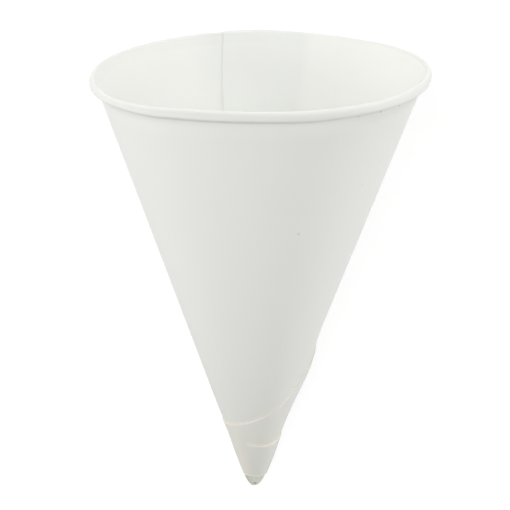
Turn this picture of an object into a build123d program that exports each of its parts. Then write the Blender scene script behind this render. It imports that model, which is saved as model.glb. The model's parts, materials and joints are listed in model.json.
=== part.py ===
from build123d import *
import os
from math import acos, asin, atan2, ceil, cos, degrees, hypot, pi, radians, sin, tan

# Cone paper cup: one paper blank, wound once round and lapped, with a rolled rim
# and a tail that winds on round the closed tip.
#
# While it is being shaped the cup stands tip down with its axis on Z. The virtual
# apex of the outer face is the origin, and a bearing is a compass angle seen from
# above the mouth: 0 is +Y, the back of the cup, and it grows clockwise.
# At the end the cup is laid on its lapped side, tip towards -Y and mouth towards +Y.

# Mouth and cone
MOUTH_DIAMETER = 72.0  # outside, over the rolled rim
HALF_ANGLE = 20.2  # between the axis and the wall, degrees
PAPER = 0.25  # thickness of the paper

# Rolled rim: an open curl, flattened so that it is taller than it is wide
BEAD_WIDTH = 1.45
BEAD_HEIGHT = 2.45
BEAD_PROUD = 1.25  # how far the curl stands out from the line of the wall
CURL_END = 90.0  # how far the curl turns under at its end, degrees
CURL_FLAT = 30.0  # its two bends are made of flats that turn by this much or less

# Shoulder inside the mouth, where the rolling tool has set the paper outwards
SHOULDER_DROP = 3.6  # below the top of the rim
SHOULDER_RISE = 0.35
SHOULDER_STEP = 0.32

# Seam: the blank's inner edge, and how far the outer edge laps past it at the rim
INNER_EDGE_BEARING = -14.7
LAP_ANGLE = 34.1
RAMP_ANGLE = 8.0  # the paper climbs over its own inner edge within this angle

# Tail: the straight cuts of the flat blank. The top cut starts at the rim's corner
# and the end cut is square to it; each is given by its distance from the apex.
TOP_CUT_DISTANCE = 18.9
END_CUT_DISTANCE = 13.2
TAIL_WINDING = 540.0  # how far round from the lap the tail's last corner lies
TAIL_SLANT = 21.0  # how much sooner the tail's last edge ends at the tip
TAIL_BLUNT = 1.5  # winding cut off the tail's last corner
FLAP_LIFT = 0.85  # the loose top of the tail stands this far off the wall
FLAP_LIFT_WINDING = 76.0  # where it stands off most
FLAP_LIFT_REACH = 74.0  # and how far to each side of that it does
PRESS_DEPTH = 0.06  # each turn of the tail is pressed this far into the one below
TAIL_FLAT = 6.0  # the tail is made of flats that turn by this much or less

# Tip
TIP_HEIGHT = 2.15  # lowest point, above the virtual apex
WRAP_END = 4.9  # height at which the wound layers stop
NOSE_RADIUS = 2.05  # at the end of the wound layers
NOSE_SIDES = ((0.75, 2.3), (1.3, 2.85), (1.75, 3.85))  # radius and height, down the blunt nose
PLUG_TOP = 5.9  # the layers close the inside of the tip up to here

REST_GIVE = 0.15  # the paper is pressed flat by this much where the cup lies on it

FULL_TURN = 360.0
CLOCKWISE = Axis((0, 0, 0), (0, 0, -1))

slope = tan(radians(HALF_ANGLE))
widening = 1 / cos(radians(HALF_ANGLE))  # from a thickness to a change of radius
mouth_radius = MOUTH_DIAMETER / 2
bead_middle = (mouth_radius - BEAD_PROUD) / slope
rim_top = bead_middle + BEAD_HEIGHT / 2
rim_slant = bead_middle * widening
shoulder = rim_top - SHOULDER_DROP
lap_end_bearing = INNER_EDGE_BEARING + LAP_ANGLE

# The curl is two bends with a short straight between them
curl_bend = BEAD_WIDTH / 2
curl_centre = mouth_radius - curl_bend
curl_upper = rim_top - curl_bend
curl_lower = rim_top - BEAD_HEIGHT + curl_bend


def face_radius(height, layers, lift=0.0):
    """Radius at a height on the outer face of so many layers of paper."""
    return height * slope + ((layers - 1) * PAPER + lift) * widening


def upright(bearing):
    """The plane through the axis at a bearing: x is outwards, y is up."""
    angle = radians(bearing)
    return Plane((0, 0, 0), x_dir=(sin(angle), cos(angle), 0), z_dir=(cos(angle), -sin(angle), 0))


def curl_corners(height, start, turn):
    """Corners of a bend of the curl, whose middle is at a height. It turns clockwise."""
    count = ceil(turn / CURL_FLAT)
    angles = [radians(start - turn * i / count) for i in range(count + 1)]
    return [(curl_centre + curl_bend * cos(a), height + curl_bend * sin(a)) for a in angles]


def moved_right(corners, distance):
    """An open path's corners, moved so that each of its sides goes right by a distance."""
    sides = [(b - a).normalized() for a, b in zip(corners, corners[1:])]
    normals = [Vector(side.Y, -side.X) for side in sides]
    moved = []
    for corner, before, after in zip(corners, normals[:1] + normals, normals + normals[-1:]):
        moved.append(corner + (before + after) * (distance / (1 + before.dot(after))))
    return moved


def wall_section(bearing, below, layers):
    """Section of wall and rim at a bearing: some layers, over so many below them."""
    path = [
        (face_radius(WRAP_END, 0), WRAP_END),
        (face_radius(shoulder, 0), shoulder),
        (face_radius(shoulder, 0) + SHOULDER_STEP, shoulder + SHOULDER_RISE),
        *curl_corners(curl_upper, 180, 180),
        *curl_corners(curl_lower, 0, CURL_END),
    ]
    corners = [Vector(*point) for point in path]
    inner = moved_right(corners, below * PAPER)
    outer = moved_right(corners, (below + layers) * PAPER)
    return upright(bearing) * Face(Wire.make_polygon(inner + outer[::-1]))


def wound_wall():
    """One turn of the blank and its lap, as sectors that meet face to face."""
    turn = revolve(wall_section(INNER_EDGE_BEARING, 0, 1), CLOCKWISE, FULL_TURN - RAMP_ANGLE)
    lap = revolve(wall_section(INNER_EDGE_BEARING, 1, 1), CLOCKWISE, LAP_ANGLE)
    foot_and_head = [
        wall_section(INNER_EDGE_BEARING - RAMP_ANGLE, 0, 1),
        wall_section(INNER_EDGE_BEARING, 1, 1),
    ]
    ramp = loft(foot_and_head, ruled=True)
    return turn + lap + ramp


# The flat blank is in polar form: slant is the distance from the apex, and a winding
# of so many degrees round the cup is that angle times sin(HALF_ANGLE) when flat.
flattening = sin(radians(HALF_ANGLE))
top_cut_foot = acos(TOP_CUT_DISTANCE / rim_slant)
end_cut_foot = top_cut_foot + pi / 2
corner_winding = degrees(top_cut_foot + atan2(END_CUT_DISTANCE, TOP_CUT_DISTANCE)) / flattening
step_winding = FULL_TURN - LAP_ANGLE  # where the tail passes the inner edge below it
last_winding = TAIL_WINDING - TAIL_BLUNT


def tail_top(winding):
    """Height of the tail's upper edge: the straight cuts of the blank, under the shoulder."""
    angle = radians(winding) * flattening
    if winding < corner_winding:
        slant = TOP_CUT_DISTANCE / cos(angle - top_cut_foot)
    else:
        slant = END_CUT_DISTANCE / cos(angle - end_cut_foot)
    return min(slant / widening, shoulder)


def tail_bottom(winding):
    """Height of the tail's lower edge, which climbs along its slanted last edge."""
    climb = (winding - TAIL_WINDING + TAIL_SLANT) / TAIL_SLANT
    return WRAP_END + max(0.0, climb) * (tail_top(TAIL_WINDING) - WRAP_END)


def layers_below(winding):
    """Layers of paper under the tail: two once it has passed the inner edge."""
    passed = (winding - step_winding + RAMP_ANGLE) / RAMP_ANGLE
    return 1 + min(max(passed, 0.0), 1.0)


def flap_lift(winding, height):
    """How far the loose flap, or a turn that lies over it, stands off the wall."""
    first_turn = winding % FULL_TURN
    away = (first_turn - FLAP_LIFT_WINDING) / FLAP_LIFT_REACH
    if abs(away) >= 1:
        return 0.0
    share = (height - WRAP_END) / (tail_top(first_turn) - WRAP_END)
    return FLAP_LIFT * cos(away * pi / 2) ** 2 * share


def tail_section(winding):
    """Corners of the tail's section: one layer, pressed on what lies below it."""
    below = layers_below(winding)
    inner, outer = [], []
    for height in (tail_bottom(winding), tail_top(winding)):
        lift = flap_lift(winding, height)
        inner.append((face_radius(height, below, lift - PRESS_DEPTH), height))
        outer.append((face_radius(height, below + 1, lift), height))
    plane = upright(lap_end_bearing + winding)
    return [plane.from_local_coords(Vector(*corner)) for corner in inner + outer[::-1]]


def flat_sided(sections):
    """A solid through sections of as many corners each, with flat triangles for sides."""
    faces = [Face(Wire.make_polygon(sections[0])), Face(Wire.make_polygon(sections[-1]))]
    for near, far in zip(sections, sections[1:]):
        for a, b, c, d in zip(near, near[1:] + near[:1], far, far[1:] + far[:1]):
            faces += [Face(Wire.make_polygon([a, b, c])), Face(Wire.make_polygon([b, d, c]))]
    return Solid(Shell(faces))


def tail():
    """The tail, in stretches that end where its edges or layers turn."""
    layer_turns = {0, step_winding - RAMP_ANGLE, step_winding}
    edge_turns = {corner_winding, TAIL_WINDING - TAIL_SLANT, last_winding}
    turns = sorted(layer_turns | edge_turns)
    pieces = []
    for start, end in zip(turns, turns[1:]):
        count = ceil((end - start) / TAIL_FLAT)
        windings = [start + (end - start) * i / count for i in range(count + 1)]
        pieces.append(flat_sided([tail_section(w) for w in windings]))
    return pieces


def nose():
    """The blunt tip, and the plug of wound layers that closes the cup inside."""
    plug_radius = (face_radius(PLUG_TOP, 0) + face_radius(PLUG_TOP, 1)) / 2
    side = [(0, TIP_HEIGHT), *NOSE_SIDES, (NOSE_RADIUS, WRAP_END)]
    outline = Wire.make_polygon([*side, (plug_radius, PLUG_TOP), (0, PLUG_TOP)])
    return revolve(upright(0) * Face(outline), Axis.Z, FULL_TURN)


def laid_down(cup):
    """The cup on its heavy side, resting on the rim and on the end of the wraps."""
    heavy = cup.center(CenterOf.MASS)
    heavy_bearing = degrees(atan2(heavy.X, heavy.Y))
    layers_at_tip = 1 + layers_below(step_winding)
    out = curl_centre - face_radius(WRAP_END, layers_at_tip)
    up = curl_lower - WRAP_END
    lean = degrees(atan2(out, up) + asin(curl_bend / hypot(out, up)))
    lying = Rotation(-90 + lean, 0, 0) * Rotation(0, 0, heavy_bearing) * cup
    box = lying.bounding_box()
    lying = Pos(0, -box.center().Y, -box.min.Z - REST_GIVE) * lying
    return split(lying, Plane.XY, keep=Keep.TOP)


def cone_cup():
    """The whole cup, as one piece of paper."""
    cup = wound_wall() + nose()
    for piece in tail():
        cup = cup + piece
    return laid_down(cup)


if __name__ == "__main__":
    os.makedirs("parts", exist_ok=True)
    export_step(cone_cup(), "parts/cone_cup.step")
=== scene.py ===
# %% [markdown]
# A cone cup is one piece of paper. It is wound once round a mandrel, lapped over its own
# edge, rolled outwards at the mouth and wound on round the tip, where its tail closes it.
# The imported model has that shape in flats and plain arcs. This file dresses it: the same
# sheet, worked out finely, with the small untruths of the real one, such as a mouth that
# isn't quite round and a bulge beside the tip.

import json
from math import radians, tan

import bpy
import numpy as np
from mathutils import Matrix, Vector


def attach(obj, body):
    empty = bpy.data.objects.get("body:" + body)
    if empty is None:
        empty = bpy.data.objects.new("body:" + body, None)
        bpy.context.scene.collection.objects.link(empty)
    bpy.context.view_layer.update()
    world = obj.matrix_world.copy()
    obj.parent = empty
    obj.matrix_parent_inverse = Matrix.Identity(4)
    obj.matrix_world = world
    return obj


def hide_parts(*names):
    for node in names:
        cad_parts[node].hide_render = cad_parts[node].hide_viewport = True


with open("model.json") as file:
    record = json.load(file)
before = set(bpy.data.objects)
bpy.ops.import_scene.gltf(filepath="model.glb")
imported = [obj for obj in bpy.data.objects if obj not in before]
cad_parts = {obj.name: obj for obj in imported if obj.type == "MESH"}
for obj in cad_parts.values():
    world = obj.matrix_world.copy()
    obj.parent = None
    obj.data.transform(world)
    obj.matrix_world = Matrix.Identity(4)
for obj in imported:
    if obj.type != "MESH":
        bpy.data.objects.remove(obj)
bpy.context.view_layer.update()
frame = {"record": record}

# %% [markdown]
# Lengths below are in millimetres, as a cup maker would write them, and become metres
# when a mesh is made. The driving sizes are those of the part. The cup is shaped tip down
# with its axis on Z, and the point where the wall's lines would meet is the origin. A
# bearing is a compass angle seen from above the mouth: 0 is the back, growing clockwise.

# %% Sizes of the cup
MM = 0.001
MOUTH_RADIUS = 36.0
HALF_ANGLE = 20.2
PAPER = 0.25
BEAD_WIDTH = 1.45
BEAD_HEIGHT = 2.45
BEAD_PROUD = 1.25
SHOULDER_DROP = 3.6
SHOULDER_RISE = 1.2
LIP_SLOPE = 0.305
WRAP_END = 5.2
PLUG_TOP = 5.9
TIP_HEIGHT = 2.3
INNER_EDGE_BEARING = -14.7
LAP_ANGLE = 34.1
RAMP_ANGLE = 8.0
FULL_TURN = 360.0
HALF_TURN = 180.0

half_angle = radians(HALF_ANGLE)
slope = tan(half_angle)
widening = 1 / np.cos(half_angle)
flattening = np.sin(half_angle)
bead_middle = (MOUTH_RADIUS - BEAD_PROUD) / slope
rim_top = bead_middle + BEAD_HEIGHT / 2
rim_slant = bead_middle * widening
shoulder = rim_top - SHOULDER_DROP
lap_end_bearing = INNER_EDGE_BEARING + LAP_ANGLE
print(f"rim {rim_top:.2f} mm and shoulder {shoulder:.2f} mm above the wall's apex")

# %% [markdown]
# The rim of a paper cup is the sheet itself, rolled outwards and back under. A round curl
# would be a circle, but this one is taller than it is wide, so it is an oval, run from the
# lip over the top and under again.

# %% The rolled curl
CURL_END = -120.0
CURL_ROWS = 28


def curl():
    """The oval curl: a cosine across and a sine up, run clockwise.

    It starts where the oval leans as the lip does, and ends where it has turned under.
    """
    half_wide, half_tall = BEAD_WIDTH / 2, BEAD_HEIGHT / 2
    start = np.pi - np.arctan(LIP_SLOPE * half_tall / half_wide)
    turns = start + (np.radians(CURL_END) - start) * np.arange(CURL_ROWS + 1) / CURL_ROWS
    radius = MOUTH_RADIUS - half_wide + half_wide * np.cos(turns)
    height = rim_top - half_tall + half_tall * np.sin(turns)
    return np.stack([radius, height], axis=1)


print("curl from", curl()[0].round(2), "to", curl()[-1].round(2), "mm")

# %% [markdown]
# The section of the sheet, from the tip up the wall and round the rolled rim, is one path
# of points. It follows the face that turns to the drink. Paper lies to the right of it, so
# any layer is the path moved right. The small set-off under the rim is the shoulder, where
# the rolling tool stopped. Rows lie closer near the tip, where the cup is small.

# %% Section of the sheet
STRAIGHT_ROWS = 40
CROWDING = 1.3
LIP_ROWS = 14

row_shares = (np.arange(STRAIGHT_ROWS + 1) / STRAIGHT_ROWS) ** CROWDING


def smooth(share):
    """Eases a share from 0 to 1: three times its square, less twice its cube."""
    return share * share * (3 - 2 * share)


def inner_radius(height):
    """Radius of the wall's inner face: the cone's line, less the paper measured level."""
    return height * slope - PAPER * widening


def section_path():
    """Wall, lip and curl, as radius and height.

    The wall and the lip are lines, and one goes over into the other above the shoulder by
    a smooth share of height.
    """
    rolled = curl()
    low = WRAP_END + row_shares * (shoulder - WRAP_END)
    high = shoulder + (rolled[0, 1] - shoulder) * np.arange(1, LIP_ROWS) / LIP_ROWS
    rise = smooth(np.clip((high - shoulder) / SHOULDER_RISE, 0, 1))
    lip_radius = rolled[0, 0] - LIP_SLOPE * (rolled[0, 1] - high)
    wall = np.stack([inner_radius(low), low], axis=1)
    lip = np.stack([inner_radius(high) * (1 - rise) + lip_radius * rise, high], axis=1)
    return np.concatenate([wall, lip, rolled])


def right_of(path):
    """Unit normals on the path's right hand, from the direction at each point."""
    run = np.gradient(path, axis=0)
    run /= np.linalg.norm(run, axis=1, keepdims=True)
    return np.stack([run[:, 1], -run[:, 0]], axis=1)


path = section_path()
print(len(path), "points in the section, mouth radius", round(path[:, 0].max(), 2), "mm")

# %% [markdown]
# The flat blank is a fan with two straight cuts. Wound up, the top cut falls away from the
# rim's corner, meets the end cut at a right angle low on the cone, and the end cut runs
# down to the tip. In polar form a cut is its distance from the apex over the cosine of the
# angle from its foot, and an angle round the cup shrinks by the sine of the half-angle.

# %% Edges of the tail
TOP_CUT = 19.0
END_CUT = 13.9
TAIL_WINDING = 540.0
TAIL_SLANT = 21.0
LAST_WINDING = 538.5

top_foot = np.arccos(TOP_CUT / rim_slant)
end_foot = top_foot + np.pi / 2
corner_winding = np.degrees(top_foot + np.arctan2(END_CUT, TOP_CUT)) / flattening


def tail_top(winding):
    """Height of the tail's upper edge: first the top cut, then the end cut."""
    before_corner = np.radians(np.minimum(winding, corner_winding)) * flattening
    past_corner = np.radians(np.maximum(winding, corner_winding)) * flattening
    top = TOP_CUT / np.cos(before_corner - top_foot)
    end = END_CUT / np.cos(past_corner - end_foot)
    slant = np.where(np.asarray(winding) < corner_winding, top, end)
    return np.minimum(slant / widening, shoulder)


def tail_bottom(winding):
    """Height of the lower edge, which climbs to the last corner in the last few degrees."""
    climb = np.clip((winding - TAIL_WINDING + TAIL_SLANT) / TAIL_SLANT, 0, 1)
    return WRAP_END + climb * (tail_top(TAIL_WINDING) - WRAP_END)


def tail_heights(winding):
    """Heights of the tail's rows, shared out from its lower edge to its upper one."""
    low, high = tail_bottom(winding), tail_top(winding)
    return low + row_shares[:, None] * (high - low)


print("the tail's two cuts meet", round(float(corner_winding)), "degrees round from the lap")

# %% [markdown]
# A strip of paper that laps itself must climb over its own edge. Here the number of layers
# under the sheet is a function of how far it has been wound, with a short ramp before each
# edge below, and it tells how far to the right of the path the sheet lies.

# %% Layers under the sheet
STEP_WINDING = FULL_TURN - LAP_ANGLE


def ramp(winding, end):
    """Goes smoothly from 0 to 1 in the ramp's angle before an end."""
    return smooth(np.clip((winding - end + RAMP_ANGLE) / RAMP_ANGLE, 0, 1))


def wall_below(winding):
    """Layers under the wall: none, and one where it laps its inner edge."""
    return ramp(winding, FULL_TURN)


def tail_below(winding):
    """Layers under the tail: one, and two once it has passed the inner edge again."""
    return 1 + ramp(winding, STEP_WINDING)


print("at its end the tail lies over", tail_below(LAST_WINDING), "layers")

# %% [markdown]
# Where the tail first goes round, on the right of the photograph, the wall has bulged and
# the tail lies on the bulge. Lower down the wraps are heaped up on the same side, and on
# the left they are drawn in a little. These are all lifts: lengths by which every layer
# moves out, whatever its place in the heap. A negative lift is a hollow.

# %% The bulges beside the tip
WALL_BULGE = {"bearing": 67.0, "reach": 42.5, "lift": 1.4, "height": 28.6, "spread": 6.2}
WRAP_BULGE = {"bearing": 90.6, "reach": 74.0, "lift": 0.22, "height": 8.9, "spread": 3.2}
LEFT_HOLLOW = {"bearing": 264.0, "reach": 60.0, "lift": -0.27, "height": 15.2, "spread": 3.6}
LOOSE_WALL, LOOSE_WALL_TOP = 0.46, 34.5
LOOSE_WRAPS, LOOSE_WRAPS_TOP = 0.17, 24.5
LOOSE_FADE = 0.9


def beside_bulge(bulge, bearing):
    """A squared cosine round the cup: 1 at the bulge's bearing, 0 at its reach."""
    away = (bearing - bulge["bearing"] + HALF_TURN) % FULL_TURN - HALF_TURN
    return np.cos(np.clip(away / bulge["reach"], -1, 1) * np.pi / 2) ** 2


def bump(bulge, bearing, height):
    """The bulge's lift, times its squared cosine round the cup, times a bell up it."""
    bell = np.exp(-(((height - bulge["height"]) / bulge["spread"]) ** 2))
    return bulge["lift"] * beside_bulge(bulge, bearing) * bell


def below(top, height):
    """1 under a height and 0 over it: one over 1 plus an exponential of the height past it."""
    return 1 / (1 + np.exp((height - top) / LOOSE_FADE))


def lifted(bearing, height):
    """The bulges and the hollow, and the layers that fit loosely from them down to the tip."""
    bulges = sum(bump(bulge, bearing, height) for bulge in (WALL_BULGE, WRAP_BULGE, LEFT_HOLLOW))
    loose_wall = LOOSE_WALL * beside_bulge(WALL_BULGE, bearing) * below(LOOSE_WALL_TOP, height)
    loose_wraps = LOOSE_WRAPS * beside_bulge(WRAP_BULGE, bearing) * below(LOOSE_WRAPS_TOP, height)
    return bulges + loose_wall + loose_wraps


at_bulge = lifted(WALL_BULGE["bearing"], WALL_BULGE["height"])
print("lift at the bulge, mm:", round(float(at_bulge), 2))

# %% [markdown]
# No paper cup is quite true. The mouth has the shape that the photograph shows: a circle
# with a few low waves round it. Each wave has a number of crests, and the lengths of its
# cosine and its sine.

# %% The mouth out of round
WAVES = {2: (0.25, 0.0), 3: (0.14, -0.58), 4: (-0.05, 0.3), 5: (0.12, 0.15)}


def out_of_round(bearing):
    """How far the mouth is from a circle: cosine and sine waves, anticlockwise from the right."""
    angle = np.radians(90.0 - bearing)
    return sum(a * np.cos(n * angle) + b * np.sin(n * angle) for n, (a, b) in WAVES.items())


print("mouth out of round by up to", round(np.abs(out_of_round(np.arange(360))).max(), 2), "mm")

# %% [markdown]
# The rim was rolled a little askew, higher on the right, and it sags here and there. Both
# slide points along the wall and leave the cone as it is. The curl has been pressed flatter
# in places, which lowers its top and leaves its foot. The sag and the pressing are each a
# row of bearings and the lengths at them, read off the rim in the photograph.

# %% The rim askew and pressed
RING_HEIGHT = 94.14
RIM_ASKEW = 0.76
RIM_SAG = (
    (50, 75, 95, 118, 148, 162, 180, 209, 220, 231, 245, 268, 300),
    (0.0, 0.1, 0.25, 0.25, 0.12, 0.3, 0.12, 0.2, 0.45, 0.3, 0.25, 0.3, 0.0),
)
CURL_SQUASH = (
    (0, 17, 37, 49, 65, 118, 135, 162, 180)
    + (200, 222, 230, 241, 258, 280, 298, 317, 334, 347),
    (0.16, 0.4, 0.4, 0.27, 0.1, 0.12, 0.3, 0.15, 0.25)
    + (0.15, 0.4, 0.6, 0.65, 0.35, 0.2, 0.4, 0.45, 0.4, 0.25),
)


def round_the_rim(table, bearing):
    """A length looked up at a bearing, on straight lines between those in the table."""
    return np.interp(bearing % FULL_TURN, *table, period=FULL_TURN)


def askew(bearing, height):
    """How far points rise: a sine round the rim, less its sag, as the cube of the height."""
    rise = RIM_ASKEW * np.sin(np.radians(bearing)) - round_the_rim(RIM_SAG, bearing)
    return rise * (height / RING_HEIGHT) ** 3


def squashed(bearing, height):
    """How far the curl is pressed down: nothing at its lower edge, all of it at its top."""
    share = np.clip((height - rim_top + BEAD_HEIGHT) / BEAD_HEIGHT, 0, 1)
    return share * round_the_rim(CURL_SQUASH, bearing)


print("curl pressed down by up to", max(CURL_SQUASH[1]), "mm")

# %% [markdown]
# One function puts any point of the cup in space, with all that is untrue about it, so the
# wall, the tail and the tip's lump stay together. The mouth's waves fade down the cone,
# since near the tip the paper is too stiff to take them. The tip itself sits to the right.

# %% Points in space
TIP_SHIFT = 0.28
TIP_SHIFT_HEIGHT = 18.0


def tip_shift(height):
    """The tip's set to the right, fading to nothing up the cone."""
    return TIP_SHIFT * smooth(np.clip(1 - height / TIP_SHIFT_HEIGHT, 0, 1))


def in_space(bearing, radius, height):
    """Points from bearing, radius and height, with all that is untrue about the cup."""
    rise = askew(bearing, height)
    wave = out_of_round(bearing) * height / RING_HEIGHT
    radius = radius + wave + slope * rise + lifted(bearing, height)
    height = height + rise - squashed(bearing, height)
    angle = np.radians(bearing)
    x = radius * np.sin(angle) + tip_shift(height)
    return np.stack([x, radius * np.cos(angle), height * np.ones_like(x)], axis=-1)


print("right end of the rim, mm:", in_space(np.array(90.0), MOUTH_RADIUS, rim_top).round(2))

# %% [markdown]
# Now the sheet. It could be a plain grid with Solidify on it, but that modifier thickens a
# curl evenly and can't climb over its own lap. So both faces are worked out: each is a grid
# of section rows and winding columns, the wall first and then the tail, which starts from
# the wall's last column and shares its points. The tail's columns crowd where it leaves the
# wall, because its cut is steepest there.

# %% Columns of the sheet
COLUMN = 2.0
STEEP_END = 30.0
STEEP_COLUMNS = 30
STEEP_CROWDING = 1.5


def every_column(start, end):
    """Windings from a start to an end, spaced as evenly as the column's width allows."""
    return np.linspace(start, end, round((end - start) / COLUMN) + 1)


steep = STEEP_END * (np.arange(1, STEEP_COLUMNS + 1) / STEEP_COLUMNS) ** STEEP_CROWDING
wall_windings = every_column(0, FULL_TURN + LAP_ANGLE)
tail_windings = np.concatenate([steep, every_column(STEEP_END, LAST_WINDING)[1:]])
print(len(wall_windings), "columns round the wall and", len(tail_windings), "round the tail")

# %% [markdown]
# A face's points are the section moved right by its layers, at every column, and then put
# in space. Rolling has pressed the layers of the curl thinner, and near the rim it has
# dragged the seam's inner edge aside a little.

# %% Points of the sheet
CURL_PRESSED = 0.8
SEAM_DRIFT = 2.1
SEAM_BEND = 76.0
SEAM_REACH = 15.0

normals = right_of(path)
rows = len(path)
pressing = np.where(np.arange(rows) < rows - CURL_ROWS, 1.0, CURL_PRESSED)[:, None]


def wall_points(layer):
    """The wall and rim moved right by its layers, at every winding.

    Near the rim the seam drifts aside: as the square of the height past its bend, and by
    an exponential of the winding.
    """
    winding = wall_windings[None, :]
    moved = (wall_below(winding) + layer) * PAPER * pressing
    radius = path[:, :1] + normals[:, :1] * moved
    height = path[:, 1:] + normals[:, 1:] * moved
    near_rim = np.clip((height - SEAM_BEND) / (rim_top - SEAM_BEND), 0, 1)
    drift = SEAM_DRIFT * near_rim**2 * np.exp(-winding / SEAM_REACH)
    return in_space(INNER_EDGE_BEARING + winding + drift, radius, height)


def tail_points(layer):
    """The tail between its edges, moved right by its layers."""
    winding = tail_windings[None, :]
    along = tail_heights(winding)
    moved = (tail_below(winding) + layer) * PAPER
    radius = inner_radius(along) + np.cos(half_angle) * moved
    height = along - np.sin(half_angle) * moved
    return in_space(lap_end_bearing + winding, radius, height)


def sheet_points(layer):
    """One face of the sheet: the wall's points and then the tail's."""
    return np.concatenate([wall_points(layer).reshape(-1, 3), tail_points(layer).reshape(-1, 3)])


sheet = np.concatenate([sheet_points(1), sheet_points(0)])
face_points = len(sheet) // 2
print(face_points, "points on each face of the sheet")

# %% [markdown]
# The points become cells, by their numbers in rows and columns. The inner face has the same
# cells as the outer one, run the other way, so that both faces point away from the paper.
# Then the faces are joined round the blank's cut edge, and nobody has to list that edge: it
# is every side of a cell that no neighbour runs the other way.

# %% Cells of the sheet
straight_rows = STRAIGHT_ROWS + 1
wall_count = rows * len(wall_windings)
wall_ids = np.arange(wall_count).reshape(rows, -1)
tail_new = wall_count + np.arange(straight_rows * len(tail_windings)).reshape(straight_rows, -1)
tail_ids = np.concatenate([wall_ids[:straight_rows, -1:], tail_new], axis=1)


def cells(ids):
    """Four-cornered cells of a grid of point numbers, facing right of the path."""
    corners = [ids[:-1, :-1], ids[1:, :-1], ids[1:, 1:], ids[:-1, 1:]]
    return np.stack(corners, axis=-1).reshape(-1, 4)


def free_edges(quads):
    """Starts and ends of the cells' sides that no neighbour runs the other way."""
    starts = quads.ravel()
    ends = np.roll(quads, -1, axis=1).ravel()
    lone = ~np.isin(starts * face_points + ends, ends * face_points + starts)
    return starts[lone], ends[lone]


outer_cells = np.concatenate([cells(wall_ids), cells(tail_ids)])
inner_cells = outer_cells[:, ::-1] + face_points
cut_starts, cut_ends = free_edges(outer_cells)
edge_corners = [cut_ends, cut_starts, cut_starts + face_points, cut_ends + face_points]
edge_cells = np.stack(edge_corners, axis=1)
print(len(edge_cells), "cells round the blank's cut edge")

# %% [markdown]
# The layers inside the last millimetres can't be seen apart, so the end of the tip is one
# lump: a profile turned round the axis, closed at both poles, uneven as crushed paper is.
# The profile is given as radius and height. Each of the two waves that make it uneven is
# given by its number of crests, its twist with the height and its depth.

# %% The crushed tip
NOSE = (
    (0.0, 2.3),
    (0.42, 2.36),
    (0.72, 2.7),
    (1.12, 3.15),
    (1.56, 3.78),
    (1.86, 4.4),
    (1.96, 5.0),
    (1.75, 5.7),
)
NOSE_SHIFT = 0.03
NOSE_ROWS = 36
NOSE_COLUMNS = 72
NOSE_WAVES = ((3, 1.0, 0.05), (5, -2.2, 0.035))
CRUSHED_BELOW = 1.5


def nose_place(bearing, radius, height):
    """A place on the tip's lump, which sits a touch to the right."""
    place = in_space(bearing, radius, height)
    place[..., 0] += NOSE_SHIFT
    return place


def nose_rings():
    """The profile at every bearing, with sine waves round it that twist with the height."""
    knots = np.array(NOSE)
    along = np.linspace(0, len(knots) - 1, NOSE_ROWS)
    radius = np.interp(along, np.arange(len(knots)), knots[:, 0])[1:, None]
    height = np.interp(along, np.arange(len(knots)), knots[:, 1])[1:, None]
    bearing = np.arange(NOSE_COLUMNS)[None, :] * (FULL_TURN / NOSE_COLUMNS)
    angle = np.radians(bearing)
    crush = sum(depth * np.sin(n * angle + twist * height) for n, twist, depth in NOSE_WAVES)
    crush = crush * np.clip((PLUG_TOP - height) / CRUSHED_BELOW, 0, 1)
    return nose_place(bearing, radius * (1 + crush), height)


def pole(height):
    """The one point on the axis that closes the lump at a height."""
    return nose_place(np.zeros(1), np.zeros(1), np.full(1, height))


rings = nose_rings()
points = np.concatenate([sheet, rings.reshape(-1, 3), pole(TIP_HEIGHT), pole(PLUG_TOP)])
print("tip's lump from", TIP_HEIGHT, "to", PLUG_TOP, "mm above the wall's apex")

# %% [markdown]
# The lump's rings are joined like the sheet's grid, with the first column again after the
# last. At each pole a fan of triangles closes it, since all its cells there end in a point.

# %% Cells of the crushed tip
ring_ids = len(sheet) + np.arange(rings[..., 0].size).reshape(-1, NOSE_COLUMNS)
closed_ids = np.concatenate([ring_ids, ring_ids[:, :1]], axis=1)
low_pole = len(sheet) + ring_ids.size
high_pole = low_pole + 1
nose_cells = cells(closed_ids)
low, high = closed_ids[0], closed_ids[-1]
low_fan = np.stack([np.full(NOSE_COLUMNS, low_pole), low[:-1], low[1:]], axis=1)
high_fan = np.stack([np.full(NOSE_COLUMNS, high_pole), high[1:], high[:-1]], axis=1)
print(len(nose_cells) + 2 * NOSE_COLUMNS, "cells in the tip's lump")

# %% [markdown]
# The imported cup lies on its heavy, lapped side. The record's mount on the rim's crest gives
# where the mouth is and which way the axis points, so the dressed cup is turned the same
# way, first round its own axis and then over.

# %% Turning the cup
REST_TURN = 14.3

crest = next(m for m in frame["record"]["mounts"] if m["name"] == "rim_crest")
axis = Vector(crest["axis"]).normalized()
mouth = Vector(crest["pos_m"])
lean = axis.angle(Vector((0, 1, 0)))
turned = Matrix.Rotation(lean - radians(90), 4, "X") @ Matrix.Rotation(radians(REST_TURN), 4, "Z")
laid = Matrix.Translation(mouth - axis * rim_top * MM) @ turned
print("axis", round(90 - np.degrees(lean), 1), "degrees off upright")

# %% [markdown]
# A real cup sinks until its rim and its wraps both touch what it lies on, so this one is
# rocked and let down in the same way. Each rocking changes a little which points are the
# lowest, so it is done a few times. The two sides are given as places along Y, in metres.

# %% Letting the cup down
ROCKINGS = 4
RIM_SIDE = 0.02
TIP_SIDE = -0.03


def moved_by(matrix, cup_points):
    """Points in millimetres in the cup's frame, moved into the world in metres."""
    m = np.array(matrix)
    return cup_points * MM @ m[:3, :3].T + m[:3, 3]


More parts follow.
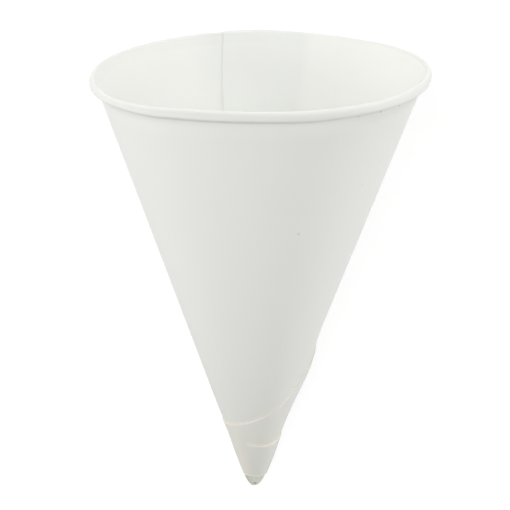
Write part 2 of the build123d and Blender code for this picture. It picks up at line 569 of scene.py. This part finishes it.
def settled(matrix):
    """The placing matrix, rocked and let down until rim and wraps both reach the floor.

    The lowest point on the rim's side and the lowest on the tip's give the tilt to take out.
    """
    for _ in range(ROCKINGS):
        world = moved_by(matrix, points)
        near_rim = world[world[:, 1] > RIM_SIDE]
        near_tip = world[world[:, 1] < TIP_SIDE]
        rim_low = near_rim[near_rim[:, 2].argmin()]
        tip_low = near_tip[near_tip[:, 2].argmin()]
        tilt = (rim_low[2] - tip_low[2]) / (rim_low[1] - tip_low[1])
        about = Matrix.Translation(Vector(tip_low))
        rock = about @ Matrix.Rotation(-tilt, 4, "X") @ about.inverted()
        matrix = Matrix.Translation((0, 0, -tip_low[2])) @ rock @ matrix
    return matrix


placed = settled(laid)
world_points = moved_by(placed, points)
print("lowest point, mm:", round(world_points[:, 2].min() / MM, 4))

# %% [markdown]
# One mesh holds it all, because it is one piece of paper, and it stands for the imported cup
# on the same body. Slot 0 is the paper's two faces, slot 1 its cut edge and slot 2 the
# crushed tip. The seam's edge inside the mouth is pressed down and looks as white as the
# paper beside it, so its cells go back to slot 0.

# %% Making the mesh
kinds = (outer_cells, inner_cells, edge_cells, nose_cells)
quads = np.concatenate(kinds)
polygons = [*quads.tolist(), *low_fan.tolist(), *high_fan.tolist()]
cup_mesh = bpy.data.meshes.new("paper_cup")
cup_mesh.from_pydata(world_points.tolist(), [], polygons)
cup_mesh.polygons.foreach_set("use_smooth", np.ones(len(polygons), bool))

slots = np.full(len(polygons), 2)
slots[: len(quads)] = np.repeat([0, 0, 1, 2], [len(kind) for kind in kinds])
seam = wall_ids[:, 0]
at_seam = np.isin(cut_starts, seam) & np.isin(cut_ends, seam)
slots[len(outer_cells) + len(inner_cells) + np.flatnonzero(at_seam)] = 0

cup = bpy.data.objects.new("paper_cup", cup_mesh)
bpy.context.scene.collection.objects.link(cup)
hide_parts("cone_cup")
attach(cup, "root")
print(len(polygons), "faces in the cup")

# %% [markdown]
# Two maps go with the mesh. The first is the flat blank itself: every point gets the place
# that it had before winding, so that a pattern follows the sheet over laps and curls, and
# the distance to a straight cut is one dot product. The second marks which face of the
# sheet a point is on and whether it is on the tail, as the red and green of a colour.

# %% Blank map and face marks
BLANK_UNIT = 0.01

steps = np.linalg.norm(np.diff(path, axis=0), axis=1)
slants = WRAP_END * widening + np.concatenate([[0], np.cumsum(steps)])
tail_start = np.radians(FULL_TURN + LAP_ANGLE) * flattening


def blank_places():
    """Flat places in mm: the way along the section, at the angle round the cup, shrunk."""
    wall_angle = np.radians(wall_windings) * flattening
    tail_angle = tail_start + np.radians(tail_windings) * flattening
    wall = slants[:, None] * np.exp(1j * wall_angle)
    tail = tail_heights(tail_windings) * widening * np.exp(1j * tail_angle)
    flat = np.concatenate([wall.ravel(), tail.ravel()])
    return np.stack([flat.real, flat.imag], axis=1)


blank = blank_places()
nose_places = np.zeros((len(points) - len(sheet), 2))
flat_places = np.concatenate([blank, blank, nose_places]) * BLANK_UNIT
uv = cup_mesh.uv_layers.new(name="blank")
corner_points = np.zeros(len(cup_mesh.loops), np.int32)
cup_mesh.loops.foreach_get("vertex_index", corner_points)
uv.data.foreach_set("uv", flat_places[corner_points].ravel())

on_tail = np.arange(face_points) >= wall_count
marks = np.zeros((len(points), 4), np.float32)
marks[:face_points, 0] = 1
marks[: len(sheet), 1] = np.concatenate([on_tail, on_tail])
marks[:, 3] = 1
face_marks = cup_mesh.color_attributes.new("face_marks", "FLOAT_COLOR", "POINT")
face_marks.data.foreach_set("color", marks.ravel())
print("blank map from", blank.min(axis=0).round(), "to", blank.max(axis=0).round(), "mm")

# %% [markdown]
# Every paper finish here shares one effect, the felted fibres: fine noise that is stretched
# a little along the cup, and clouds of it, as paper shows against the light. It is a group
# of nodes with two outputs, a height for a Bump node and a mask of light clouds.

# %% Paper fibre group
FIBRE_SCALE = 900.0
CLOUD_SCALE = 60.0
FIBRE_STRETCH = (1.0, 0.45, 1.0)
FIBRE_STRENGTH = 0.12
FIBRE_HEIGHT = 0.0002


def node(tree, kind, **settings):
    """A new node with its settings, and with values for the inputs that are named."""
    made = tree.nodes.new("ShaderNode" + kind)
    for name, value in settings.items():
        if name in made.inputs:
            made.inputs[name].default_value = value
        else:
            setattr(made, name, value)
    return made


def new_socket(group, name, way):
    """A number that goes into a group of nodes or comes out of it."""
    return group.interface.new_socket(name, in_out=way, socket_type="NodeSocketFloat")


fibre = bpy.data.node_groups.new("paper_fibre", "ShaderNodeTree")
new_socket(fibre, "Fibre Scale", "INPUT").default_value = FIBRE_SCALE
new_socket(fibre, "Cloud Scale", "INPUT").default_value = CLOUD_SCALE
new_socket(fibre, "Height", "OUTPUT")
new_socket(fibre, "Cloud", "OUTPUT")
values_in = fibre.nodes.new("NodeGroupInput")
values_out = fibre.nodes.new("NodeGroupOutput")
place = node(fibre, "TexCoord")
stretch = node(fibre, "Mapping", Scale=FIBRE_STRETCH)
fine = node(fibre, "TexNoise", Detail=4.0, Roughness=0.6)
clouds = node(fibre, "TexNoise", Detail=3.0, Roughness=0.55)
fibre.links.new(place.outputs["Object"], stretch.inputs["Vector"])
fibre.links.new(stretch.outputs["Vector"], fine.inputs["Vector"])
fibre.links.new(place.outputs["Object"], clouds.inputs["Vector"])
fibre.links.new(values_in.outputs["Fibre Scale"], fine.inputs["Scale"])
fibre.links.new(values_in.outputs["Cloud Scale"], clouds.inputs["Scale"])
fibre.links.new(fine.outputs["Fac"], values_out.inputs["Height"])
fibre.links.new(clouds.outputs["Fac"], values_out.inputs["Cloud"])
print("paper_fibre has", len(fibre.nodes), "nodes")

# %% [markdown]
# The paper is white, uncoated and matt, with a faint cast of warm grey. Its fibres are too
# fine to model, so they are a bump. Thin paper also passes light to its other face, which is
# why the single layer of the wall looks lighter than the lap, so a Translucent shader can be
# mixed in.

# %% A material of paper
def new_material(name, color, roughness):
    """A material whose Principled shader has a colour, a roughness and the fibres' bump."""
    made = bpy.data.materials.new(name)
    made.use_nodes = True
    tree = made.node_tree
    shader = tree.nodes["Principled BSDF"]
    shader.inputs["Base Color"].default_value = (*color, 1)
    shader.inputs["Roughness"].default_value = roughness
    shader.inputs["Specular IOR Level"].default_value = 0.3
    fibres = node(tree, "Group", node_tree=fibre)
    bump = node(tree, "Bump", Strength=FIBRE_STRENGTH, Distance=FIBRE_HEIGHT)
    tree.links.new(fibres.outputs["Height"], bump.inputs["Height"])
    tree.links.new(bump.outputs["Normal"], shader.inputs["Normal"])
    return made, fibres


def let_light_through(material, color, share):
    """Mixes in a Translucent shader, as thin paper passes some light to its other face."""
    tree = material.node_tree
    through = node(tree, "BsdfTranslucent", Color=(*color, 1))
    both = node(tree, "MixShader")
    both.inputs[0].default_value = share
    tree.links.new(tree.nodes["Principled BSDF"].outputs[0], both.inputs[1])
    tree.links.new(through.outputs[0], both.inputs[2])
    tree.links.new(both.outputs[0], tree.nodes["Material Output"].inputs["Surface"])


print("fibres are a bump of", FIBRE_HEIGHT / MM, "mm at a strength of", FIBRE_STRENGTH)

# %% [markdown]
# A paper's colour is built up in steps, each a mask and a colour that the paper goes over to
# where the mask is 1. Masks are put together with Math nodes, such as the product of two or
# the larger one.

# %% Steps of colour
def joined(tree, kind, a, b):
    """A Math node of some kind on two values, either of which may be a number."""
    made = node(tree, "Math", operation=kind)
    for socket, value in zip(made.inputs, (a, b)):
        if isinstance(value, (int, float)):
            socket.default_value = value
        else:
            tree.links.new(value, socket)
    return made.outputs[0]


def scaled(tree, value, factor):
    """A value times a number or another value."""
    return joined(tree, "MULTIPLY", value, factor)


def toward(tree, color, mask, goal, share=None):
    """A colour that goes a share of the way to a goal colour, all of it if none is given."""
    mix = node(tree, "Mix", data_type="RGBA")
    mix.inputs[7].default_value = (*goal, 1)
    tree.links.new(scaled(tree, mask, share) if share else mask, mix.inputs[0])
    if isinstance(color, tuple):
        mix.inputs[6].default_value = (*color, 1)
    else:
        tree.links.new(color, mix.inputs[6])
    return mix.outputs[2]


# %% [markdown]
# Masks come from the blank map. A straight cut of the blank is a line: all points whose dot
# product with the direction of its foot is the cut's distance. A spot is a distance from a
# point, and so is a ring round the cup, whose point is the fan's apex.

# %% Masks from the blank map
def ranged(tree, value, full, gone):
    """A mask that is 1 where a value is full, and falls smoothly to 0 where it is gone."""
    ranging = node(tree, "MapRange", interpolation_type="SMOOTHSTEP")
    limits = (("From Min", full), ("From Max", gone), ("To Min", 1.0), ("To Max", 0.0))
    for socket, number in limits:
        ranging.inputs[socket].default_value = number
    tree.links.new(value, ranging.inputs["Value"])
    return ranging.outputs["Result"]


def along_blank(tree, places, direction):
    """How far blank places lie in a direction, in mm: their dot product with it."""
    dot = node(tree, "VectorMath", operation="DOT_PRODUCT")
    x, y = np.cos(direction) / BLANK_UNIT, np.sin(direction) / BLANK_UNIT
    dot.inputs[1].default_value = (x, y, 0)
    tree.links.new(places, dot.inputs[0])
    return dot.outputs["Value"]


def from_point(tree, places, slant, angle):
    """How far blank places lie from a point of the blank, in mm."""
    x, y = slant * np.cos(angle) * BLANK_UNIT, slant * np.sin(angle) * BLANK_UNIT
    between = node(tree, "VectorMath", operation="DISTANCE")
    between.inputs[1].default_value = (x, y, 0)
    tree.links.new(places, between.inputs[0])
    return scaled(tree, between.outputs["Value"], 1 / BLANK_UNIT)


def beside(tree, value, middle):
    """How far a value is from a middle one, to either side."""
    off_middle = node(tree, "Math", operation="ABSOLUTE")
    tree.links.new(joined(tree, "SUBTRACT", value, middle), off_middle.inputs[0])
    return off_middle.outputs[0]


def faded(tree, value, length):
    """A mask that starts at 1 and falls to 1/e in each such length."""
    power = node(tree, "Math", operation="EXPONENT")
    tree.links.new(scaled(tree, value, -1 / length), power.inputs[0])
    return power.outputs[0]


# %% [markdown]
# The body of the paper comes first: white, a little lighter in the fibres' clouds, and
# greyer towards the tip, which is painted shade.

# %% Paper, its white
WHITE = (0.918, 0.924, 0.89)
CLOUDED = (0.932, 0.938, 0.905)
TIP_SHADE = (0.74, 0.735, 0.685)
TIP_SHADE_LENGTH = 32.0

paper, fibres = new_material("white_paper", WHITE, 0.85)
tree = paper.node_tree
flat = node(tree, "UVMap", uv_map="blank").outputs["UV"]
marked = node(tree, "SeparateColor")
drawn_marks = node(tree, "VertexColor", layer_name="face_marks")
tree.links.new(drawn_marks.outputs["Color"], marked.inputs["Color"])
outside, tail_mask = marked.outputs["Red"], marked.outputs["Green"]
inside = joined(tree, "SUBTRACT", 1, outside)
on_wall = joined(tree, "SUBTRACT", 1, tail_mask)
from_apex = from_point(tree, flat, 0, 0)

color = toward(tree, WHITE, fibres.outputs["Cloud"], CLOUDED)
# Painted shade: the paper goes greyer towards the tip, fading out along the blank from the apex.
color = toward(tree, color, faded(tree, from_apex, TIP_SHADE_LENGTH), TIP_SHADE)
print("white of the paper:", WHITE)

# %% [markdown]
# A knife crushes the paper that it cuts, so beside a cut it is pale with a touch of yellow,
# and there the upward-facing edges catch the light, so this pale line is partly painted
# highlight. It shows on the tail along its own edges, as a painted highlight along the lower
# edge of the wraps, and as a halo of painted light on the turn that lies one turn below.
# A little glue has run out from under the end cut and stained that turn too.

# %% Paper at the cuts
PALE_CUT_AND_HIGHLIGHT = (0.96, 0.915, 0.85)
STAINED = (0.82, 0.79, 0.69)
CUT_WIDTH = 0.5
HALO_WIDTH = 0.8
STAIN_SOLID = 1.8
STAIN_WIDTH = 4.4

one_turn = 2 * np.pi * flattening
under_cut = along_blank(tree, flat, tail_start + end_foot - one_turn)
stain = ranged(tree, under_cut, full=END_CUT + STAIN_SOLID, gone=END_CUT + STAIN_WIDTH)
stain = scaled(tree, scaled(tree, stain, tail_mask), ranged(tree, under_cut, full=3.0, gone=1.0))
color = toward(tree, color, stain, STAINED, share=0.45)

# The halo is painted light: a pale band on the outside of the turn below, beside the cut lines.
under_top = along_blank(tree, flat, tail_start + top_foot - one_turn)
past_top = joined(tree, "SUBTRACT", under_top, TOP_CUT)
past_end = joined(tree, "SUBTRACT", under_cut, END_CUT)
past_cuts = joined(tree, "MAXIMUM", past_top, past_end)
halo = ranged(tree, beside(tree, past_cuts, 0), full=0, gone=HALO_WIDTH)
under_last = tail_start + np.radians(LAST_WINDING) * flattening - one_turn
past_last = along_blank(tree, flat, under_last + np.pi / 2)
before_last = ranged(tree, past_last, full=-0.4, gone=0.2)
halo = scaled(tree, scaled(tree, halo, outside), joined(tree, "MAXIMUM", on_wall, before_last))
color = toward(tree, color, halo, PALE_CUT_AND_HIGHLIGHT, share=0.75)

# Pale lines along the tail's cuts: crushed fibres, and in part a painted highlight where the cut
# edge catches the light.
for foot, cut, share in ((top_foot, TOP_CUT, 0.7), (end_foot, END_CUT, 0.2)):
    in_cut = along_blank(tree, flat, tail_start + foot)
    near_cut = scaled(tree, ranged(tree, in_cut, full=cut, gone=cut - CUT_WIDTH), tail_mask)
    color = toward(tree, color, near_cut, PALE_CUT_AND_HIGHLIGHT, share)
# Painted highlight: a pale line along the lower edge of the wraps, where the crease catches the
# light.
wrap_slant = WRAP_END * widening
nose_highlight = ranged(tree, from_apex, full=wrap_slant, gone=wrap_slant + CUT_WIDTH)
color = toward(tree, color, nose_highlight, PALE_CUT_AND_HIGHLIGHT, share=0.8)
print("halo", HALO_WIDTH, "mm and pressed edge", CUT_WIDTH, "mm wide")

# %% [markdown]
# Inside the mouth the seam shows as a change of tone. Where two layers lie together
# less light comes through, so the lap is painted greyer as shade, and so are the last few
# millimetres before it, where the paper tilts as it climbs over the inner edge.

# %% Paper at the seam
LAP_SHADE = (0.86, 0.87, 0.845)
CLIMB_WIDTH = 8.0

lap_line = np.radians(LAP_ANGLE) * flattening + np.pi / 2
in_lap = ranged(tree, along_blank(tree, flat, lap_line), full=-2.5, gone=1.0)
before_edge = along_blank(tree, flat, one_turn - np.pi / 2)
climb = ranged(tree, before_edge, full=0, gone=CLIMB_WIDTH)
lap_shade = scaled(tree, joined(tree, "MAXIMUM", in_lap, climb), on_wall)
# Painted shade: the lap and the climb before the inner edge are greyer on the inside face.
color = toward(tree, color, scaled(tree, lap_shade, inside), LAP_SHADE, share=0.7)
print("glued over", LAP_ANGLE, "degrees")

# %% [markdown]
# At the rim light and shade are painted in rings: a band of painted shade round the crest,
# a fold where the curl turns under and a crease on the wall below it, painted darker as
# shade with a little dust, and under that a band of painted light on the outside. Each is a
# ring on the blank, at its own distance from the apex.

# %% Paper at the rim
CREST_SHADE = (0.78, 0.785, 0.75)
UNDER_RIM_LIGHT = (0.975, 0.978, 0.95)
CREASE_SHADE_AND_DUST = (0.66, 0.665, 0.63)
CREST_PAST = 0.5

crest_slant = slants[path[:, 1].argmax()]
fold_slant = slants[-CURL_ROWS + path[-CURL_ROWS:, 1].argmin()]
under_rim = (rim_top - BEAD_HEIGHT) * widening

from_crest = beside(tree, from_apex, crest_slant + CREST_PAST)
# Painted shade: a darker band round the crest.
color = toward(tree, color, ranged(tree, from_crest, full=0.7, gone=1.6), CREST_SHADE, share=0.5)
# Painted light: a lighter band on the outside of the wall below the rim, against the bead's
# shade.
under_rim_light = ranged(tree, from_apex, full=under_rim - 1.0, gone=under_rim - 6.0)
color = toward(tree, color, scaled(tree, under_rim_light, outside), UNDER_RIM_LIGHT, share=0.7)
# Painted shade with a little dust: the fold under the curl and the crease on the wall below it.
fold = ranged(tree, beside(tree, from_apex, fold_slant), full=0.1, gone=0.8)
crease = ranged(tree, from_apex, full=under_rim - 0.3, gone=under_rim - 0.8)
shaded_folds = joined(tree, "MAXIMUM", fold, scaled(tree, crease, outside))
color = toward(tree, color, shaded_folds, CREASE_SHADE_AND_DUST, share=0.4)
print("crest", round(crest_slant, 1), "mm and fold", round(fold_slant, 1), "mm along the blank")

# %% [markdown]
# Last come the small marks of this one cup: three nips in the crease under the rim, each
# given by its winding and strength, and two specks on the wall, each given by its slant,
# winding, radius and strength. Then the light that comes through is mixed in.

# %% Paper's nips and specks
SPECK = (0.42, 0.4, 0.34)
NIPS = ((157.9, 0.3), (147.5, 0.45), (136.3, 0.6))
NIP_DROP = 0.55
NIP_RADIUS = 0.5
NIP_CORE = 0.2
SPECKS = ((80.16, 142.6, 0.44, 0.18), (70.48, 173.1, 0.42, 0.32))
SPECK_CORE = 0.3
THROUGH = (0.86, 0.85, 0.8)
THROUGH_SHARE = 0.09


def spotted(color, slant, winding, radius, core, strength):
    """The colour with a dark spot on the outside, full over a core's share of its radius."""
    off_spot = from_point(tree, flat, slant, np.radians(winding) * flattening)
    spot = ranged(tree, off_spot, full=core * radius, gone=radius)
    return toward(tree, color, scaled(tree, spot, outside), SPECK, strength)


for winding, strength in NIPS:
    color = spotted(color, under_rim - NIP_DROP, winding, NIP_RADIUS, NIP_CORE, strength)
for slant, winding, radius, strength in SPECKS:
    color = spotted(color, slant, winding, radius, SPECK_CORE, strength)
tree.links.new(color, tree.nodes["Principled BSDF"].inputs["Base Color"])
let_light_through(paper, THROUGH, THROUGH_SHARE)
print("paper has", len(tree.nodes), "nodes")

# %% [markdown]
# The cut edge shows the paper's own stuff, unpressed, a little darker and rougher than its
# faces. The crushed tip is darker still and olive grey on its left side, and painted shade
# makes a dark pit on its front, where the mesh has no hollow. The pit is a place in the cup,
# so it is moved as the cup was laid down.

# %% Cut edge and crushed tip
CUT = (0.75, 0.738, 0.668)
CRUSHED = (0.68, 0.685, 0.61)
LEFT_OLIVE = (0.55, 0.56, 0.46)
PIT_SHADE = (0.3, 0.31, 0.28)
PIT = (0.62, -0.95, 3.05)
SHARP_ANGLE = 40

cut_edge, _ = new_material("cut_edge", CUT, 0.9)
crushed, _ = new_material("crushed_tip", CRUSHED, 0.9)
tree = crushed.node_tree
to_left = placed.to_3x3() @ Vector((-1, 0, 0))
place = node(tree, "TexCoord").outputs["Object"]
off_pit = node(tree, "VectorMath", operation="SUBTRACT")
off_pit.inputs[1].default_value = placed @ (Vector(PIT) * MM)
tree.links.new(place, off_pit.inputs[0])
leftness = node(tree, "VectorMath", operation="DOT_PRODUCT")
leftness.inputs[1].default_value = to_left / MM
tree.links.new(off_pit.outputs[0], leftness.inputs[0])
distance = node(tree, "VectorMath", operation="LENGTH")
tree.links.new(off_pit.outputs[0], distance.inputs[0])

olive_side = ranged(tree, leftness.outputs["Value"], full=1.6, gone=0.3)
# Painted shade: a dark spot for the pit on the tip's front.
pit_shade = ranged(tree, scaled(tree, distance.outputs["Value"], 1 / MM), full=0.1, gone=0.5)
color = toward(tree, CRUSHED, olive_side, LEFT_OLIVE)
color = toward(tree, color, pit_shade, PIT_SHADE)
tree.links.new(color, tree.nodes["Principled BSDF"].inputs["Base Color"])

for material in (paper, cut_edge, crushed):
    cup_mesh.materials.append(material)
cup_mesh.polygons.foreach_set("material_index", slots.astype(np.int32))
cup_mesh.set_sharp_from_angle(angle=radians(SHARP_ANGLE))
print("materials:", [material.name for material in cup_mesh.materials])

# %% [markdown]
# The cup is shown on a plain white ground, with a faint shadow. What the camera sees is kept
# apart from what lights the cup: Light Path tells a camera, mirror or glass ray from one that
# gathers light. A ray that has come through the paper is a diffuse one too, so it is left
# out, or the white ground would shine through the cup.

# %% Telling what is seen from what gives light
def seen_directly(tree):
    """1 for camera, glossy and transmission rays that no matt surface has scattered."""
    rays = node(tree, "LightPath").outputs
    straight_rays = joined(tree, "MAXIMUM", rays["Is Camera Ray"], rays["Is Glossy Ray"])
    straight_rays = joined(tree, "MAXIMUM", straight_rays, rays["Is Transmission Ray"])
    return joined(tree, "SUBTRACT", straight_rays, rays["Is Diffuse Ray"])


def shown_apart(tree, lighting, shown):
    """One shader for rays that gather light, and another for what is seen."""
    either = node(tree, "MixShader")
    tree.links.new(seen_directly(tree), either.inputs[0])
    tree.links.new(lighting.outputs[0], either.inputs[1])
    tree.links.new(shown.outputs[0], either.inputs[2])
    return either.outputs[0]


# %% [markdown]
# The floor is one wide square. It bounces light onto the cup as pale card does. Where it is
# seen, most of its white is its own glow, which no shadow darkens, and the rest is a dim
# matt grey that takes the cup's shadow, so the shadow stays faint.

# %% The floor
FLOOR = 6.0
CARD = (0.8, 0.8, 0.8, 1)
SHADOW_CARD = (0.2, 0.2, 0.2, 1)
GLOW = 0.86

corners = [(-FLOOR, -FLOOR, 0), (FLOOR, -FLOOR, 0), (FLOOR, FLOOR, 0), (-FLOOR, FLOOR, 0)]
floor_mesh = bpy.data.meshes.new("floor")
floor_mesh.from_pydata(corners, [], [(0, 1, 2, 3)])
floor = bpy.data.objects.new("floor", floor_mesh)
bpy.context.scene.collection.objects.link(floor)

ground = bpy.data.materials.new("ground")
ground.use_nodes = True
tree = ground.node_tree
tree.nodes.clear()
bounce = node(tree, "BsdfDiffuse", Color=CARD)
shadowed = node(tree, "BsdfDiffuse", Color=SHADOW_CARD)
glow = node(tree, "Emission", Strength=GLOW)
seen = node(tree, "AddShader")
tree.links.new(shadowed.outputs[0], seen.inputs[0])
tree.links.new(glow.outputs[0], seen.inputs[1])
surface = shown_apart(tree, bounce, seen)
tree.links.new(surface, node(tree, "OutputMaterial").inputs["Surface"])
floor_mesh.materials.append(ground)
print("floor", 2 * FLOOR, "m across")

# %% [markdown]
# The photograph has soft light from all round, a little more from the left and right, which
# makes both sides of the cone lighter than its middle, and most of all from beyond the
# mouth, which lights the inside. The world gives the even part, and eight lamps the rest,
# whose powers were fitted to the tones of the paper. Each lamp is a disc that faces the cup
# and is given by its place and width in metres and its power in watts.

# %% Light
WORLD = 0.463
LAMPS = {
    "left_high": ((-0.6, -0.05, 0.45), 0.3, 0.767),
    "left_low": ((-0.7, -0.02, 0.28), 0.3, 0.635),
    "right": ((0.62, 0.0, 0.1), 0.2, 0.39),
    "beyond_tip": ((0.4, -0.6, 0.1), 0.2, 0.68),
    "overhead": ((0.0, 0.1, 0.8), 0.4, 1.371),
    "mouth_high": ((-0.4, 0.36, 0.62), 0.3, 1.097),
    "mouth_left": ((-0.5, 0.6, 0.12), 0.3, 0.305),
    "mouth_right": ((0.5, 0.6, 0.12), 0.3, 2.366),
}

world = bpy.data.worlds.new("studio")
world.use_nodes = True
bpy.context.scene.world = world
tree = world.node_tree
tree.nodes.clear()
soft = node(tree, "Background", Color=(1, 1, 1, 1), Strength=WORLD)
white = node(tree, "Background", Color=(1, 1, 1, 1), Strength=1.0)
surface = shown_apart(tree, soft, white)
tree.links.new(surface, node(tree, "OutputWorld").inputs["Surface"])

for name, (place, width, power) in LAMPS.items():
    lamp = bpy.data.lights.new(name, "AREA")
    lamp.shape = "DISK"
    lamp.size = width
    lamp.energy = power
    holder = bpy.data.objects.new(name, lamp)
    holder.location = place
    holder.rotation_euler = (-Vector(place)).to_track_quat("-Z", "Y").to_euler()
    bpy.context.scene.collection.objects.link(holder)
print(len(LAMPS), "lamps,", round(sum(lamp[2] for lamp in LAMPS.values()), 1), "W in all")

# %% [markdown]
# The camera's numbers come from fitting the cup's outline to the photograph's. They are
# lengths and angles in the cup's own frame, tip down, so that the photograph's view of the
# cup stays the same however the cup lies: first the camera is placed by the upright cup,
# and then both are moved together.

# %% The camera
CAMERA_DISTANCE = 900.0
CAMERA_RISE = radians(16.785)
CAMERA_ROLL = radians(0.857)
CAMERA_ASIDE = 0.66
CAMERA_UP = 52.25
LENS = 291.35
SENSOR = 36
FAR_CLIP = 20

level = Vector((1, 0, 0))
forward = Vector((0, np.cos(CAMERA_RISE), -np.sin(CAMERA_RISE)))
unrolled_up = level.cross(forward)
right = level * np.cos(CAMERA_ROLL) + unrolled_up * np.sin(CAMERA_ROLL)
up = right.cross(forward)
eye = (right * CAMERA_ASIDE + up * CAMERA_UP - forward * CAMERA_DISTANCE) * MM
facing = Matrix((right, up, -forward)).transposed().to_4x4()
lens = bpy.data.cameras.new("photo_view")
lens.lens = LENS
lens.sensor_width = SENSOR
lens.clip_end = FAR_CLIP
camera = bpy.data.objects.new("photo_view", lens)
camera.matrix_world = placed @ Matrix.Translation(eye) @ facing
bpy.context.scene.collection.objects.link(camera)
bpy.context.scene.camera = camera
bpy.context.scene.view_settings.view_transform = "Standard"
print("camera at", [round(v, 3) for v in camera.matrix_world.translation])
